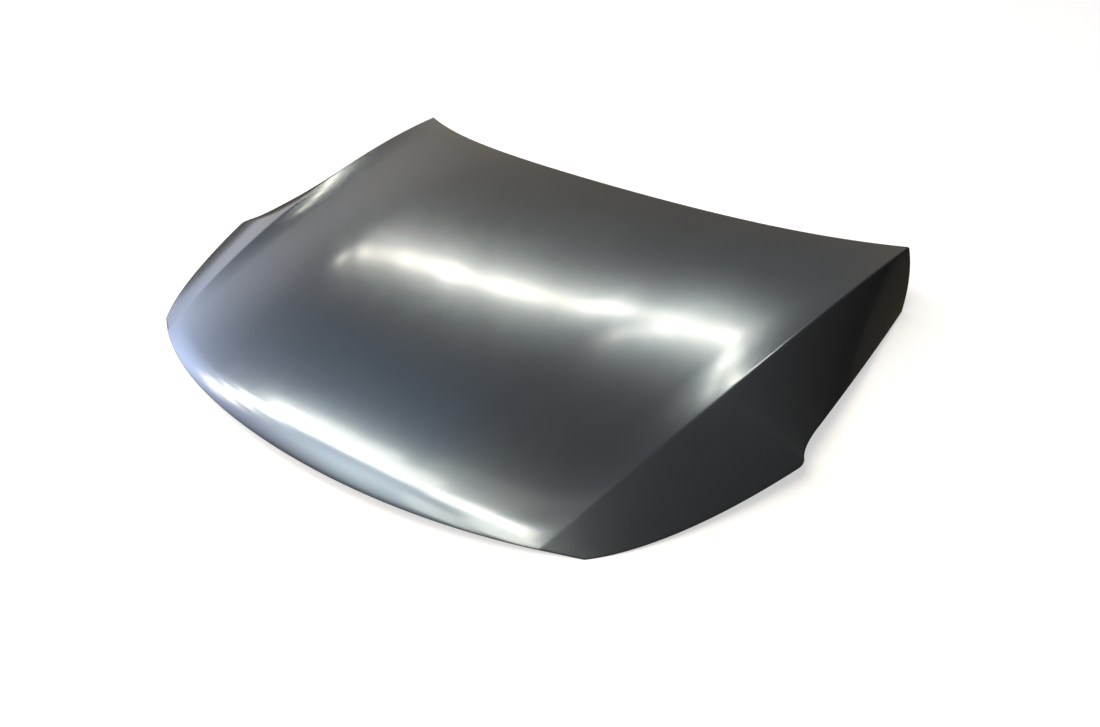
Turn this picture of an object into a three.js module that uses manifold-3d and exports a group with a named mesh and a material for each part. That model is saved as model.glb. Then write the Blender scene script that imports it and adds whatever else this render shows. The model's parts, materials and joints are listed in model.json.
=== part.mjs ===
// A bare pressed-steel car bonnet: an outer skin hemmed round a stamped inner frame, with its hinge
// reinforcements, weld nuts, striker and anti-flutter mastic. Millimetres, +Z up, front edge towards -Y.
// The bonnet lies outer side up on its two front corners and its two rear lower corners.
import * as THREE from "three";
import { mergeVertices } from "three/addons/utils/BufferGeometryUtils.js";
import Module from "manifold-3d";

const wasm = await Module();
wasm.setup();

const point = (x, y, z) => new THREE.Vector3(x, y, z);

// Main sizes: half the width over the wing tips, the length from the nose to the rear ends of the creases,
// and the height of the crown's highest handle over the front corners.
const halfWidth = 749;
const panelLength = 1124;
const crownHeight = 150;

// A place on a styling curve, in shares of the main sizes: out from the middle, back from the nose, and up.
const place = (out, back, up) => point(out * halfWidth, (back - 0.5) * panelLength, up * crownHeight);

// Half outline, seen from above: the crease between top and flank, the edges, and the centre line.
const creaseFront = place(0.6636, 0.0916, 0.06);
const creaseFrontPull = place(0.749, 0.2749, 0.493);
const creaseRearPull = place(0.8518, 0.6423, 0.947);
const creaseRear = place(0.9199, 1, 0.78);
const noseCentre = place(0, 0, 0.2);
const nosePull = place(0, 0.1085, 0.7);
const rearPull = place(0, 0.5801, 1);
const rearCentre = place(0, 0.8701, 0.953);
const frontCorner = place(0.745, 0.1192, 0);
const headlightPull = place(0.8785, 0.2046, 0.027);
const sideTip = place(1, 0.4279, 0.213);
const notchPull = place(0.976, 0.4466, 0.227);
const fenderFront = place(0.9773, 0.5036, 0.233);
const fenderPull = place(0.9773, 0.7367, 0.14);
const rearLowCorner = place(0.9626, 0.9457, 0);

// Surface shape.
const noseRoll = 10;
const rollReach = 0.045;
const frontBow = 0.14;
const rearBow = 0.31;
const frontFall = 0.26;
const rearFall = -0.12;
const valleyDepth = 9;
const valleyStart = 0.45;
const valleyPlace = 0.87;
const flankCamber = 5;
const rearRound = 9;
const tipRound = 0.014;
const tipAlong = 0.38;
const fenderAlong = 0.46;

// Sheets and the hem that holds them.
const skinThickness = 0.7;
const frameThickness = 0.6;
const fitGap = 0.35;
const hemReturn = 10;
const hemClearance = 2;
const skinMargin = 8;
const edgeClearance = 0.5;

// Inner frame.
const boxDepth = 24;
const frameMargin = 30;
const bondDepth = 4.5;
const landWidth = 14;
const rampWidth = 14;
const floorGap = 5;
const leastDepth = 4.2;
const openingRadius = 42;

// Hinge, buffer and striker pads.
const hingeBoltSpacing = 46;
const boltHole = 9;
const hingePlateThickness = 2;
const padBorder = 5;
const plateCornerRadius = 6;
const nutAcrossFlats = 14;
const nutHeight = 7;
const nutBore = 6.8;
const strikerPlateWidth = 72;
const strikerPlateLength = 34;
const strikerPlateThickness = 2.5;
const reinforcementWidth = 90;
const reinforcementLength = 46;
const reinforcementThickness = 1.5;
const wireDiameter = 8;
const wireSpan = 34;
const wireDrop = 27;
const wireBend = 9;

// Mastic dabs and small holes.
const dabDiameter = 12;
const dabTopGap = 0.9;
const dabSeatGap = 0.4;
const drainHole = 12;
const propHoleLength = 26;
const propHoleWidth = 13;

const lerp = THREE.MathUtils.lerp;
const hemThickness = 2 * skinThickness + frameThickness + 2 * fitGap;
const hemZone = hemReturn + hemClearance;

const crease = new THREE.CubicBezierCurve3(creaseFront, creaseFrontPull, creaseRearPull, creaseRear);
const noseBase = noseCentre.clone().add(point(0, 0, noseRoll));
const centreLine = new THREE.CubicBezierCurve3(noseBase, nosePull, rearPull, rearCentre);
const headlightEdge = new THREE.QuadraticBezierCurve3(frontCorner, headlightPull, sideTip);
const notchEdge = new THREE.QuadraticBezierCurve3(sideTip, notchPull, fenderFront);
const fenderEdge = new THREE.QuadraticBezierCurve3(fenderFront, fenderPull, rearLowCorner);

// Lower edge of the flank at v, 0 at the front and 1 at the rear, before the tip is rounded.
function sharpEdge(v) {
  if (v < tipAlong) return headlightEdge.getPointAt(v / tipAlong);
  if (v < fenderAlong) return notchEdge.getPointAt((v - tipAlong) / (fenderAlong - tipAlong));
  return fenderEdge.getPointAt((v - fenderAlong) / (1 - fenderAlong));
}

function lowerEdge(v) {
  const across = (v - tipAlong + tipRound) / (2 * tipRound);
  if (across <= 0 || across >= 1) return sharpEdge(v);
  const start = sharpEdge(tipAlong - tipRound);
  const end = sharpEdge(tipAlong + tipRound);
  return new THREE.QuadraticBezierCurve3(start, sideTip, end).getPoint(across);
}

const spread = (u, share) => (1 - share) * u ** 2 + share * u ** 4;

// Top panel at u, 0 on the centre line and 1 on the crease.
function topPoint(u, v) {
  const middle = centreLine.getPointAt(v);
  const side = crease.getPointAt(v);
  const fall = spread(u, lerp(frontFall, rearFall, v));
  const roll = noseRoll * Math.max(0, 1 - v / rollReach) ** 2;
  const inner = THREE.MathUtils.smoothstep(u, valleyStart, valleyPlace);
  const outer = 1 - Math.max(0, (u - valleyPlace) / (1 - valleyPlace)) ** 2;
  const valley = valleyDepth * Math.sin(Math.PI * v) * inner * outer;
  return point(
    u * side.x,
    lerp(middle.y, side.y, spread(u, lerp(frontBow, rearBow, v))),
    lerp(middle.z, side.z, fall) - roll * (1 - fall) - valley,
  );
}

// Flank at w, 0 on the crease and 1 on its lower edge.
function flankPoint(w, v) {
  const start = crease.getPointAt(v);
  const end = lowerEdge(v);
  const out = crease.getTangentAt(v).cross(end.clone().sub(start)).normalize().negate();
  const swell = 4 * w * (1 - w);
  const p = start.lerp(end, w).addScaledVector(out, flankCamber * swell);
  p.y += rearRound * swell * v ** 8;
  return p;
}

// Outer surface at q: 0 on the centre line, 1 on the crease, 2 on the flank's lower edge, negative on the
// other side.
function surface(q, v) {
  const reach = Math.abs(q);
  const p = reach <= 1 ? topPoint(reach, v) : flankPoint(reach - 1, v);
  if (q < 0) p.x = -p.x;
  return p;
}

// Outward unit normal, the mean of both panels on the crease.
function normalAt(q, v) {
  const reach = Math.abs(q);
  const step = 1e-3;
  if (Math.abs(reach - 1) < step / 2) {
    const sum = normalAt(1 - step, v).add(normalAt(1 + step, v)).normalize();
    return q < 0 ? sum.setX(-sum.x) : sum;
  }
  const low = reach > 1 ? Math.max(reach - step, 1) : reach - step;
  const high = Math.min(reach + step, reach < 1 ? 1 : 2);
  const across = surface(high, v).sub(surface(low, v));
  const along = surface(reach, Math.min(v + step, 1)).sub(surface(reach, Math.max(v - step, 0)));
  const normal = across.cross(along).normalize();
  return q < 0 ? normal.setX(-normal.x) : normal;
}

// Collects vertices and triangles of one closed sheet.
class Sheet {
  constructor() {
    this.vertices = [];
    this.triangles = [];
  }

  add(p) {
    this.vertices.push(p);
    return this.vertices.length - 1;
  }

  loop(points) {
    return points.map((p) => this.add(p));
  }

  triangle(a, b, c) {
    this.triangles.push(a, b, c);
  }

  // A quad split along its shorter diagonal, counter-clockwise seen from outside.
  quad(a, b, c, d) {
    const p = this.vertices;
    if (p[a].distanceTo(p[c]) <= p[b].distanceTo(p[d])) {
      this.triangle(a, b, c);
      this.triangle(a, c, d);
    } else {
      this.triangle(a, b, d);
      this.triangle(b, c, d);
    }
  }

  // rows[i][j]: i runs backwards and j to the right. Returns the loop of border vertices.
  grid(rows, facingUp) {
    const ids = rows.map((row) => this.loop(row));
    for (let i = 0; i + 1 < ids.length; i++) {
      for (let j = 0; j + 1 < ids[i].length; j++) {
        const [a, b, c, d] = [ids[i][j], ids[i][j + 1], ids[i + 1][j + 1], ids[i + 1][j]];
        if (facingUp) this.quad(a, b, c, d);
        else this.quad(d, c, b, a);
      }
    }
    return borderOf(ids);
  }

  // Joins two loops, which may differ in count; next lies further along the folded sheet than previous.
  join(next, previous) {
    const p = this.vertices;
    let i = 0;
    let j = 0;
    while (i < next.length || j < previous.length) {
      const a = next[i % next.length];
      const b = previous[j % previous.length];
      const aAfter = next[(i + 1) % next.length];
      const bAfter = previous[(j + 1) % previous.length];
      const stepNext = j >= previous.length ||
        (i < next.length && p[aAfter].distanceTo(p[b]) <= p[a].distanceTo(p[bAfter]));
      if (stepNext) {
        this.triangle(a, aAfter, b);
        i++;
      } else {
        this.triangle(a, bAfter, b);
        j++;
      }
    }
  }

  solid() {
    return new wasm.Manifold(
      new wasm.Mesh({
        numProp: 3,
        vertProperties: new Float32Array(this.vertices.flatMap((p) => [p.x, p.y, p.z])),
        triVerts: new Uint32Array(this.triangles),
      }),
    );
  }
}

// Border of a table of rows, anticlockwise seen from above, from its front left corner.
function borderOf(rows) {
  const last = rows.length - 1;
  const right = rows[0].length - 1;
  return [
    ...rows[0],
    ...rows.slice(1).map((row) => row[right]),
    ...rows[last].slice(0, right).reverse(),
    ...rows.slice(1, last).map((row) => row[0]).reverse(),
  ];
}

function solidFrom(geometry) {
  const bare = geometry.clone();
  bare.deleteAttribute("normal");
  bare.deleteAttribute("uv");
  const merged = mergeVertices(bare, 1e-4);
  return new wasm.Manifold(
    new wasm.Mesh({
      numProp: 3,
      vertProperties: new Float32Array(merged.attributes.position.array),
      triVerts: new Uint32Array(merged.index.array),
    }),
  );
}

function geometryFrom(solid) {
  const mesh = solid.getMesh();
  const geometry = new THREE.BufferGeometry();
  geometry.setAttribute("position", new THREE.BufferAttribute(mesh.vertProperties, 3));
  geometry.setIndex(new THREE.BufferAttribute(mesh.triVerts, 1));
  const faceted = geometry.toNonIndexed();
  faceted.computeVertexNormals();
  return faceted;
}

const steps = (count) => Array.from({ length: count + 1 }, (_, i) => i / count);

// Shortest distance from p to a row of points joined by straight pieces.
function distanceTo(line, p) {
  const segment = new THREE.Line3();
  const foot = new THREE.Vector3();
  let best = Infinity;
  for (let i = 1; i < line.length; i++) {
    segment.set(line[i - 1], line[i]).closestPointToPoint(p, true, foot);
    best = Math.min(best, foot.distanceTo(p));
  }
  return best;
}

// Place between inside and border where the distance to a border line is the margin.
function placeOfMargin(line, margin, inside, border, at) {
  let [near, far] = [inside, border];
  for (let i = 0; i < 24; i++) {
    const middle = (near + far) / 2;
    if (distanceTo(line, at(middle)) > margin) near = middle;
    else far = middle;
  }
  return near;
}

const sideLine = steps(90).map((v) => surface(2, v));
const frontLine = steps(60).map((t) => surface(lerp(-2, 2, t), 0));
const rearLine = steps(60).map((t) => surface(lerp(-2, 2, t), 1));

// A function that gives, at v, the furthest q that keeps a margin to the flank's lower edge.
function limitOf(margin) {
  const limits = steps(60).map((v) => placeOfMargin(sideLine, margin, 0.8, 2, (q) => surface(q, v)));
  return (v) => {
    const at = THREE.MathUtils.clamp(v, 0, 1) * (limits.length - 1);
    const low = Math.min(Math.floor(at), limits.length - 2);
    return lerp(limits[low], limits[low + 1], at - low);
  };
}

// Furthest q of the frame's raised part, and of the skin inside its hem.
const sideLimit = limitOf(frameMargin);
const skinLimit = limitOf(hemZone + skinMargin);

// Stations round the border of the outer surface: place, normal and inward direction in the surface.
// Columns are q on the top, and on the flank 1 + a share of the way to the flat of the hem, then the edge.
const topColumns = [0, 0.14, 0.28, 0.42, 0.55, 0.68, 0.76, 0.82, 0.87, 0.92, 0.96, 1];
const flankColumns = [1.22, 1.48, 1.74, 2];
const halfColumns = [...topColumns, ...flankColumns, 3];
const skinColumns = [...halfColumns.slice(1).map((q) => -q).reverse(), ...halfColumns];
const headlightRows = [0, 0.035, 0.065, 0.1, 0.15, 0.2, 0.26, 0.32, tipAlong - 1.6 * tipRound];
const tipRows = [tipAlong - 0.6 * tipRound, tipAlong, tipAlong + 0.6 * tipRound, tipAlong + 1.6 * tipRound];
const notchRows = [lerp(tipAlong, fenderAlong, 0.6), fenderAlong];
const fenderRows = [0.53, 0.6, 0.67, 0.74, 0.81, 0.87, 0.92, 0.965, 1];
const skinRows = [...headlightRows, ...tipRows, ...notchRows, ...fenderRows];

// q of a skin column at v.
function columnPlace(column, v) {
  const reach = Math.abs(column);
  if (reach <= 1) return column;
  return Math.sign(column) * (reach > 2 ? 2 : lerp(1, skinLimit(v), reach - 1));
}

function makeStations() {
  const places = borderOf(skinRows.map((v) => skinColumns.map((column) => [columnPlace(column, v), v])));
  const stations = places.map(([q, v]) => ({ at: surface(q, v), normal: normalAt(q, v) }));
  return stations.map((station, i) => {
    const before = stations.at(i - 1).at;
    const after = stations[(i + 1) % stations.length].at;
    const arriving = station.at.clone().sub(before).normalize();
    const leaving = after.clone().sub(station.at).normalize();
    const halfTurn = Math.sqrt((1 + arriving.dot(leaving)) / 2);
    const inward = station.normal.clone().cross(arriving.add(leaving)).normalize().divideScalar(halfTurn);
    return { ...station, inward };
  });
}

const stations = makeStations();

// The border loop moved inward in the surface and down through the sheet.
function hemLoop(inset, depth) {
  return stations.map(({ at, normal, inward }) =>
    at.clone().addScaledVector(inward, inset).addScaledVector(normal, -depth),
  );
}

// Skin table at a depth under the outer surface, its border lying on the flat of the hem.
function skinTable(depth) {
  const rim = hemLoop(hemZone, depth);
  const rimAt = new Map();
  const places = borderOf(skinRows.map((v, i) => skinColumns.map((q, j) => i * skinColumns.length + j)));
  places.forEach((key, k) => rimAt.set(key, rim[k]));
  return skinRows.map((v, i) =>
    skinColumns.map((column, j) => {
      const onRim = rimAt.get(i * skinColumns.length + j);
      const q = columnPlace(column, v);
      return onRim ?? surface(q, v).addScaledVector(normalAt(q, v), -depth);
    }),
  );
}

// Outer skin, its edge folded under the inner frame's flange and back inwards.
function makeOuterSkin() {
  const sheet = new Sheet();
  const roll = hemThickness / 2;
  const chain = [
    sheet.grid(skinTable(0), true),
    sheet.loop(hemLoop(0, 0)),
    sheet.loop(hemLoop(-roll * Math.SQRT1_2, roll * (1 - Math.SQRT1_2))),
    sheet.loop(hemLoop(-roll, roll)),
    sheet.loop(hemLoop(-roll * Math.SQRT1_2, roll * (1 + Math.SQRT1_2))),
    sheet.loop(hemLoop(0, hemThickness)),
    sheet.loop(hemLoop(hemReturn, hemThickness)),
    sheet.loop(hemLoop(hemReturn, hemThickness - skinThickness)),
    sheet.loop(hemLoop(0, hemThickness - skinThickness)),
    sheet.loop(hemLoop(0, skinThickness)),
    sheet.grid(skinTable(skinThickness), false),
  ];
  for (let i = 1; i < chain.length; i++) sheet.join(chain[i], chain[i - 1]);
  return sheet.solid();
}

const limitCache = new Map();

// First and last v of the raised part of the frame on the column a, from -1 to 1 across.
function rowLimits(a) {
  const key = Math.abs(a).toFixed(4);
  if (!limitCache.has(key)) {
    const column = (v) => surface(sideLimit(v) * Math.abs(a), v);
    limitCache.set(key, [
      placeOfMargin(frontLine, frameMargin, 0.3, 0, column),
      placeOfMargin(rearLine, frameMargin, 0.7, 1, column),
    ]);
  }
  return limitCache.get(key);
}

const frameLength = (() => {
  const [first, last] = rowLimits(0);
  return (last - first) * centreLine.getLength();
})();

// Width in mm of one unit of a, at v.
const frameHalfWidth = (v) => sideLimit(v) * crease.getPointAt(v).x;

// q and v of a place of the frame: a across from -1 to 1, b backwards from 0 to 1.
function framePlace(a, b) {
  const [first, last] = rowLimits(a);
  const v = lerp(first, last, b);
  return [sideLimit(v) * a, v];
}

// The outer surface with its crease eased, which the frame runs under.
function easedSurface(q, v) {
  const ease = 0.16 * THREE.MathUtils.smoothstep(Math.abs(q), 0.88, 1);
  const ahead = Math.min(Math.abs(q) + ease, 2);
  const back = 2 * Math.abs(q) - ahead;
  const p = surface(ahead, v).add(surface(back, v)).add(surface(Math.abs(q), v).multiplyScalar(2));
  p.multiplyScalar(0.25);
  return q < 0 ? p.setX(-p.x) : p;
}

function easedNormal(q, v) {
  const reach = Math.abs(q);
  const turn = THREE.MathUtils.smoothstep(reach, 0.8, 1.7);
  const normal = normalAt(Math.min(reach, 0.84), v).lerp(normalAt(Math.max(reach, 1.6), v), turn).normalize();
  return q < 0 ? normal.setX(-normal.x) : normal;
}

// Upper face of the frame at a depth under the outer surface, kept above the floor.
function framePoint(a, b, depth) {
  const [q, v] = framePlace(a, b);
  const base = easedSurface(q, v);
  const normal = easedNormal(q, v);
  const room = (base.z - floorGap) / Math.max(normal.z, 0.3);
  const held = Math.max(Math.min(depth, room), leastDepth);
  return base.addScaledVector(normal, -held);
}

// Lightening openings, each with a bonding land round it: a from inner to outer, b from front to rear.
const ribInner = 0.135;
const ribOuter = 0.23;
const frontOuter = 0.48;
const rearOuter = 0.4;
const frontRail = 0.12;
const crossRibFront = 0.46;
const crossRibRear = 0.55;
const rearRail = 0.84;
const openings = [
  { name: "front_centre", a: [-ribInner, ribInner], b: [frontRail, crossRibFront] },
  { name: "rear_centre", a: [-ribInner, ribInner], b: [crossRibRear, rearRail] },
  ...[-1, 1].flatMap((side) => [
    { name: "front_side", a: sidePair(side, ribOuter, frontOuter), b: [frontRail, crossRibFront] },
    { name: "rear_side", a: sidePair(side, ribOuter, rearOuter), b: [crossRibRear, rearRail] },
  ]),
];

function sidePair(side, inner, outer) {
  return side > 0 ? [inner, outer] : [-outer, -inner];
}

// Flat pads pressed into the frame. The hinge pads and the buffer pads share their columns.
const padOuter = 0.545;
const padRowFront = 0.02;
const padRowBack = 0.08;
const hingePadRear = 0.955;
const strikerHalf = 0.07;

const beyondLand = (at, direction) => ({ at, shift: direction * (landWidth + rampWidth) });
const landEdge = (at, direction) => ({ at, shift: direction * landWidth });
const exactly = (at) => ({ at, shift: 0 });
const outwardEdge = (at) => [exactly(at), landEdge(at, 1), beyondLand(at, 1)];
const inwardEdge = (at) => [beyondLand(at, -1), landEdge(at, -1), exactly(at)];

const halfFrameColumns = [
  ...[strikerHalf].map(exactly),
  ...outwardEdge(ribInner),
  ...inwardEdge(ribOuter),
  exactly(0.315),
  ...outwardEdge(rearOuter),
  ...outwardEdge(frontOuter),
  ...[padOuter, 0.64, 0.75, 0.87, 1].map(exactly),
];
const mirrored = halfFrameColumns.map(({ at, shift }) => ({ at: -at, shift: -shift })).reverse();
const frameColumns = [...mirrored, exactly(0), ...halfFrameColumns];
const frameRows = [
  ...[0, padRowFront, padRowBack].map(exactly),
  ...inwardEdge(frontRail),
  ...[0.23, 0.35].map(exactly),
  ...outwardEdge(crossRibFront),
  ...inwardEdge(crossRibRear),
  ...[0.65, 0.75].map(exactly),
  ...outwardEdge(rearRail),
  ...[hingePadRear, 1].map(exactly),
];

function placeOf(column, row) {
  const b = row.at + row.shift / frameLength;
  const [, v] = framePlace(column.at, b);
  return [column.at + column.shift / frameHalfWidth(v), b];
}

// How far in mm a place lies outside a range.
const outside = (value, [low, high]) => Math.max(low - value, value - high, 0);

function depthAt(a, b) {
  const [, v] = framePlace(a, b);
  const onLand = openings.some(
    (opening) =>
      outside(a, opening.a) * frameHalfWidth(v) < landWidth + 0.5 &&
      outside(b, opening.b) * frameLength < landWidth + 0.5,
  );
  return onLand ? bondDepth : boxDepth;
}

const hingePadFront = rearRail + (landWidth + rampWidth) / frameLength;

// A pad's middle on the frame's upper face, and its slope along Y.
function makePad(name, a, b, sloped) {
  const middle = framePoint((a[0] + a[1]) / 2, (b[0] + b[1]) / 2, boxDepth);
  const front = framePoint((a[0] + a[1]) / 2, b[0], boxDepth);
  const back = framePoint((a[0] + a[1]) / 2, b[1], boxDepth);
  const tilt = sloped ? Math.atan2(back.z - front.z, back.y - front.y) : 0;
  return { name, a, b, middle, tilt };
}

const bufferRows = [padRowFront, padRowBack];
const hingeRows = [hingePadFront, hingePadRear];
const hingePads = [-1, 1].map((side) => {
  const name = side > 0 ? "left" : "right";
  return makePad(name, sidePair(side, frontOuter, padOuter), hingeRows, false);
});
const bufferPads = [-1, 1].map((side) =>
  makePad("buffer", sidePair(side, frontOuter, padOuter), bufferRows, false),
);
const strikerPad = makePad("striker", [-strikerHalf, strikerHalf], bufferRows, true);
const pads = [...hingePads, ...bufferPads, strikerPad];

const padHeight = (pad, y) => pad.middle.z + Math.tan(pad.tilt) * (y - pad.middle.y);

function padUnder(a, b) {
  const slack = 0.5;
  return pads.find(
    (pad) => outside(a, pad.a) * frameHalfWidth(0) < slack && outside(b, pad.b) * frameLength < slack,
  );
}

// Outline in plan of a rounded patch of the frame's upper face, its sides following rows and columns.
function patchOutline(a, b, radius, depth) {
  const [, v] = framePlace((a[0] + a[1]) / 2, (b[0] + b[1]) / 2);
  const unit = frameHalfWidth(v);
  const [x0, x1] = a.map((value) => value * unit);
  const [y0, y1] = b.map((value) => value * frameLength);
  const shape = new THREE.Shape();
  shape.moveTo(x0 + radius, y0);
  shape.lineTo((x0 + x1) / 2, y0);
  shape.lineTo(x1 - radius, y0);
  shape.absarc(x1 - radius, y0 + radius, radius, -Math.PI / 2, 0);
  shape.lineTo(x1, (y0 + y1) / 2);
  shape.lineTo(x1, y1 - radius);
  shape.absarc(x1 - radius, y1 - radius, radius, 0, Math.PI / 2);
  shape.lineTo((x0 + x1) / 2, y1);
  shape.lineTo(x0 + radius, y1);
  shape.absarc(x0 + radius, y1 - radius, radius, Math.PI / 2, Math.PI);
  shape.lineTo(x0, (y0 + y1) / 2);
  shape.lineTo(x0, y0 + radius);
  shape.absarc(x0 + radius, y0 + radius, radius, Math.PI, 1.5 * Math.PI);
  return shape.getPoints(3).slice(0, -1).map(({ x, y }) => {
    const p = framePoint(x / unit, y / frameLength, depth);
    return new THREE.Vector2(p.x, p.y);
  });
}

const cutHeight = 2 * (crownHeight + boxDepth);

// A straight cutter through the whole height of the frame.
function cutter(outline) {
  const geometry = new THREE.ExtrudeGeometry(new THREE.Shape(outline), {
    depth: cutHeight,
    bevelEnabled: false,
  });
  geometry.translate(0, 0, -cutHeight / 2);
  return solidFrom(geometry);
}

function roundHole(x, y, diameter) {
  return cutter(new THREE.EllipseCurve(x, y, diameter / 2, diameter / 2).getPoints(14).slice(0, -1));
}

// The two bolt places of a hinge pad, in plan.
function boltPlaces(pad) {
  const a = (pad.a[0] + pad.a[1]) / 2;
  const half = hingeBoltSpacing / 2 / frameLength;
  const b = (pad.b[0] + pad.b[1]) / 2;
  return [b - half, b + half].map((at) => framePoint(a, at, boxDepth));
}

function makeInnerFrame() {
  const upper = frameRows.map((row) =>
    frameColumns.map((column) => {
      const [a, b] = placeOf(column, row);
      const pad = padUnder(a, b);
      const p = framePoint(a, b, depthAt(a, b));
      if (pad) p.z = padHeight(pad, p.y);
      return p;
    }),
  );
  const lower = upper.map((row, i) =>
    row.map((p, j) => {
      const pad = padUnder(...placeOf(frameColumns[j], frameRows[i]));
      const across = (row[j + 1] ?? p).clone().sub(row[j - 1] ?? p);
      const along = (upper[i + 1] ?? upper[i])[j].clone().sub((upper[i - 1] ?? upper[i])[j]);
      const normal = pad
        ? point(0, -Math.sin(pad.tilt), Math.cos(pad.tilt))
        : across.cross(along).normalize();
      return p.clone().addScaledVector(normal, -frameThickness);
    }),
  );
  const sheet = new Sheet();
  const flange = skinThickness + fitGap;
  const chain = [
    sheet.grid(upper, true),
    sheet.loop(hemLoop(hemZone, flange)),
    sheet.loop(hemLoop(edgeClearance, flange)),
    sheet.loop(hemLoop(edgeClearance, flange + frameThickness)),
    sheet.loop(hemLoop(hemZone, flange + frameThickness)),
    sheet.grid(lower, false),
  ];
  for (let i = 1; i < chain.length; i++) sheet.join(chain[i], chain[i - 1]);
  let solid = sheet.solid();
  for (const opening of openings) {
    solid = solid.subtract(cutter(patchOutline(opening.a, opening.b, openingRadius, bondDepth)));
  }
  for (const pad of hingePads) {
    for (const { x, y } of boltPlaces(pad)) solid = solid.subtract(roundHole(x, y, boltHole));
  }
  for (const a of [-ribOuter, ribOuter]) {
    const p = surface(...framePlace(a, (rearRail + 1) / 2 + 0.02));
    solid = solid.subtract(roundHole(p.x, p.y, drainHole));
  }
  const prop = framePlace(-0.3, (padRowFront + padRowBack) / 2);
  const { x, y } = surface(...prop);
  const slot = new THREE.EllipseCurve(x, y, propHoleLength / 2, propHoleWidth / 2).getPoints(16);
  return solid.subtract(cutter(slot.slice(0, -1)));
}

const meshOf = (name, geometry, material) => {
  const mesh = new THREE.Mesh(geometry, material);
  mesh.name = name;
  return mesh;
};

const primer = (color, roughness) => new THREE.MeshStandardMaterial({ color, roughness, metalness: 0.1 });

// A group on a pad's middle, turned to the pad's slope: z = 0 is the frame's upper face.
function padGroup(pad) {
  const group = new THREE.Group();
  group.position.copy(pad.middle);
  group.rotation.x = pad.tilt;
  return group;
}

function roundedPlate(width, length, thickness, holes) {
  const r = plateCornerRadius;
  const [x, y] = [width / 2, length / 2];
  const shape = new THREE.Shape();
  shape.absarc(x - r, y - r, r, 0, Math.PI / 2);
  shape.absarc(r - x, y - r, r, Math.PI / 2, Math.PI);
  shape.absarc(r - x, r - y, r, Math.PI, 1.5 * Math.PI);
  shape.absarc(x - r, r - y, r, 1.5 * Math.PI, 2 * Math.PI);
  shape.holes.push(...holes);
  return new THREE.ExtrudeGeometry(shape, { depth: thickness, bevelEnabled: false, curveSegments: 3 });
}

const roundPath = (x, y, diameter) =>
  new THREE.Path().absarc(x, y, diameter / 2, 0, 2 * Math.PI, true);

// Plate over a hinge pad, its outline following the pad at a border inside it.
function makeHingePlate(pad) {
  const [, v] = framePlace(pad.a[0], pad.b[0]);
  const acrossBorder = padBorder / frameHalfWidth(v);
  const alongBorder = padBorder / frameLength;
  const a = [pad.a[0] + acrossBorder, pad.a[1] - acrossBorder];
  const b = [pad.b[0] + alongBorder, pad.b[1] - alongBorder];
  const outline = patchOutline(a, b, plateCornerRadius, boxDepth);
  const shape = new THREE.Shape(outline);
  for (const { x, y } of boltPlaces(pad)) shape.holes.push(roundPath(x, y, boltHole));
  const geometry = new THREE.ExtrudeGeometry(shape, {
    depth: hingePlateThickness,
    bevelEnabled: false,
    curveSegments: 7,
  });
  geometry.translate(0, 0, pad.middle.z + fitGap);
  return geometry;
}

function makeWeldNut() {
  const corner = nutAcrossFlats / Math.sqrt(3);
  const corners = steps(6).slice(1).map((t) => {
    const angle = 2 * Math.PI * t;
    return new THREE.Vector2(corner * Math.cos(angle), corner * Math.sin(angle));
  });
  const shape = new THREE.Shape(corners);
  shape.holes.push(roundPath(0, 0, nutBore));
  return new THREE.ExtrudeGeometry(shape, { depth: nutHeight, bevelEnabled: false, curveSegments: 6 });
}

// The bent wire that the latch catches, hanging from its plate.
function makeStrikerWire() {
  const half = wireSpan / 2;
  const path = new THREE.CurvePath();
  const low = -wireDrop;
  path.add(new THREE.LineCurve3(point(-half, 0, 0), point(-half, 0, low + wireBend)));
  path.add(
    new THREE.QuadraticBezierCurve3(
      point(-half, 0, low + wireBend), point(-half, 0, low), point(wireBend - half, 0, low),
    ),
  );
  path.add(new THREE.LineCurve3(point(wireBend - half, 0, low), point(half - wireBend, 0, low)));
  path.add(
    new THREE.QuadraticBezierCurve3(
      point(half - wireBend, 0, low), point(half, 0, low), point(half, 0, low + wireBend),
    ),
  );
  path.add(new THREE.LineCurve3(point(half, 0, low + wireBend), point(half, 0, 0)));
  const section = new THREE.Shape().absarc(0, 0, wireDiameter / 2, 0, 2 * Math.PI);
  return new THREE.ExtrudeGeometry(section, { steps: 24, curveSegments: 5, extrudePath: path });
}

const bonnet = new THREE.Group();
bonnet.add(meshOf("outer_skin", geometryFrom(makeOuterSkin()), primer(0x3a3d42, 0.4)));
bonnet.add(meshOf("inner_frame", geometryFrom(makeInnerFrame()), primer(0x34373b, 0.45)));

for (const pad of hingePads) {
  bonnet.add(meshOf("hinge_reinforcement_" + pad.name, makeHingePlate(pad), primer(0x33363a, 0.5)));
  boltPlaces(pad).forEach(({ x, y }, i) => {
    const end = i === 0 ? "front" : "rear";
    const nut = meshOf(`weld_nut_${pad.name}_${end}`, makeWeldNut(), primer(0x404348, 0.5));
    nut.position.set(x, y, pad.middle.z + hingePlateThickness + 2 * fitGap);
    bonnet.add(nut);
  });
}

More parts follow.
